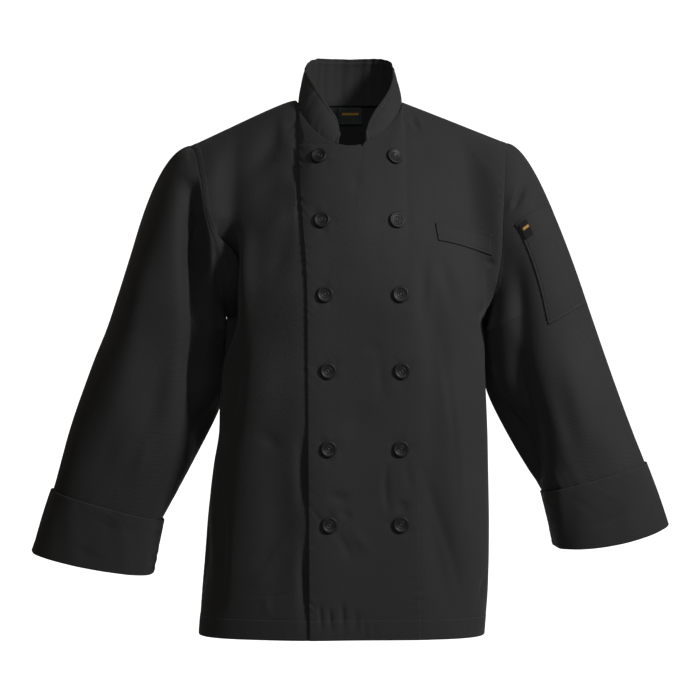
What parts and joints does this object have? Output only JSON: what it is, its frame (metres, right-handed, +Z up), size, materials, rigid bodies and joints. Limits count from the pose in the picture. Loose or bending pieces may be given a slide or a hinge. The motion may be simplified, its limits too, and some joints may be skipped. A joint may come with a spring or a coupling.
{
  "type": "chef jacket",
  "caption": "Double-breasted chef jacket with long cuffed sleeves, stand collar, chest welt and sleeve pen pocket, shown filled out, open at neck, hem and cuffs.",
  "frame": {"origin": "middle of the neck opening's base, level with the side neck points, where the jacket rests on its wearer", "axes": "+Z up, the front faces -Y, +X towards the wearer's left; +X is the longest extent, sleeve to sleeve"},
  "size_m": [0.8929, 0.2528, 0.8069],
  "materials": {
    "jacket_twill": "matt black cotton-polyester twill",
    "button_plastic": "glossy black with a raised rim",
    "label_weave": "plain charcoal woven tape"
  },
  "bodies": {
    "root": {"front_left": "jacket_twill", "front_right": "jacket_twill", "back": "jacket_twill", "sleeve_left": "jacket_twill", "sleeve_right": "jacket_twill", "cuff_left": "jacket_twill", "cuff_right": "jacket_twill", "collar": "jacket_twill", "chest_welt": "jacket_twill", "sleeve_pocket": "jacket_twill", "neck_label": "label_weave", "pocket_label": "label_weave", "button_left_1": "button_plastic", "button_left_2": "button_plastic", "button_left_3": "button_plastic", "button_left_4": "button_plastic", "button_left_5": "button_plastic", "button_left_6": "button_plastic", "button_right_1": "button_plastic", "button_right_2": "button_plastic", "button_right_3": "button_plastic", "button_right_4": "button_plastic", "button_right_5": "button_plastic", "button_right_6": "button_plastic"}
  },
  "joints": []
}
